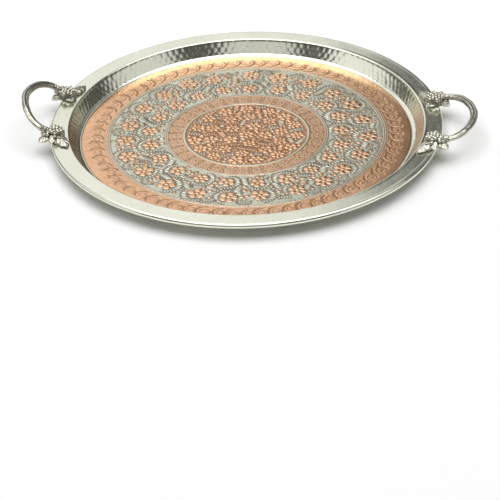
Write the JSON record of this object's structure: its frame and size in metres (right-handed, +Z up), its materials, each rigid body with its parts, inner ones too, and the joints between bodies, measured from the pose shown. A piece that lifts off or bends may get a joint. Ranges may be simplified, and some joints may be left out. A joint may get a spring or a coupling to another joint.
{
  "type": "round serving tray with handles",
  "caption": "Round shallow copper serving tray with an engraved floor, a hammered wall, a smooth rolled flange and cast vine handles on grape-and-leaf mounts.",
  "frame": {"origin": "below the middle of the whole tray, on the surface that the tray stands on; the pan's centre is 2.5 mm to the left of it", "axes": "+X from the left handle to the right handle, +Y from front to rear, +Z up out of the tray"},
  "size_m": [0.4182, 0.36, 0.0395],
  "materials": {
    "copper_sheet": "copper sheet, tinned and polished on the wall and flange, engraved and darkened on the floor",
    "cast_silvered": "cast, silver plated, dark in the recesses",
    "edge_wire": "drawn",
    "fastener_steel": "plated"
  },
  "bodies": {
    "root": {"tray_pan": "copper_sheet", "rim_wire": "edge_wire", "right_handle_bow": "cast_silvered", "left_handle_bow": "cast_silvered", "right_front_mount": "cast_silvered", "right_rear_mount": "cast_silvered", "left_front_mount": "cast_silvered", "left_rear_mount": "cast_silvered", "right_front_screw": "fastener_steel", "right_rear_screw": "fastener_steel", "left_front_screw": "fastener_steel", "left_rear_screw": "fastener_steel", "right_front_washer": "fastener_steel", "right_rear_washer": "fastener_steel", "left_front_washer": "fastener_steel", "left_rear_washer": "fastener_steel"}
  },
  "joints": []
}
